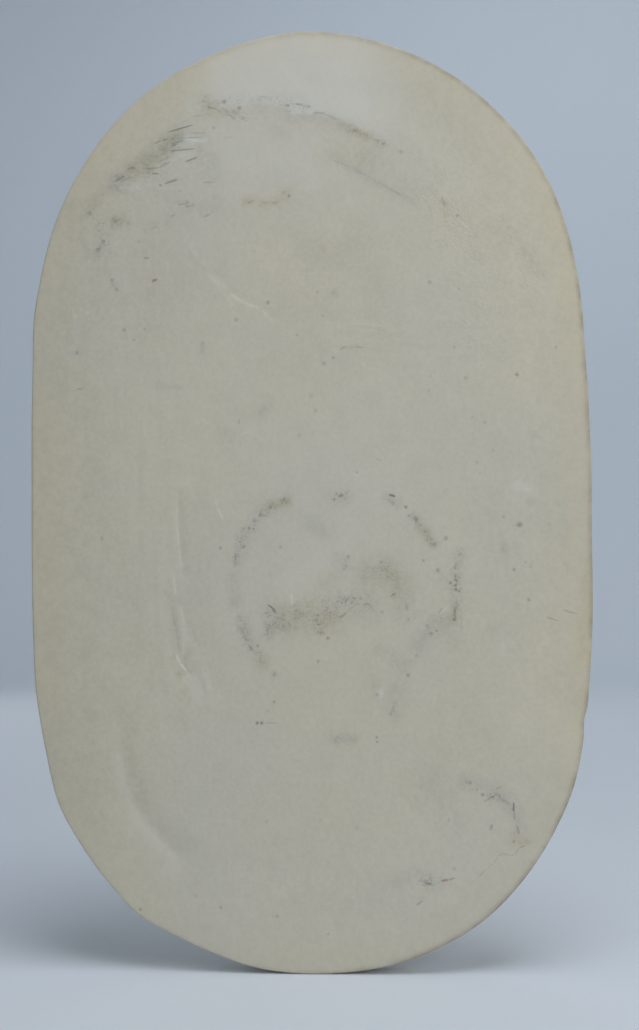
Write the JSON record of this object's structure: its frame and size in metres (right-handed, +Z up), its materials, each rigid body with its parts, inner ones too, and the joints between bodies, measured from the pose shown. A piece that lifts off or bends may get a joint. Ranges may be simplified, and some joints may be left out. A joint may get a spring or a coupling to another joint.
{
  "type": "wall plaque",
  "caption": "Plain cast plaster wall plaque with a tall rounded outline, a rubbed and stained outer side, and a flat side that lies on the wall.",
  "frame": {"origin": "middle of the flat side that lies on the wall", "axes": "+Z up along the plaque's height, +Y into the wall, +X to the right of someone who faces the outer side"},
  "size_m": [0.2318, 0.018, 0.3891],
  "materials": {
    "plaster": null
  },
  "bodies": {
    "root": {"plaque": "plaster"}
  },
  "joints": []
}
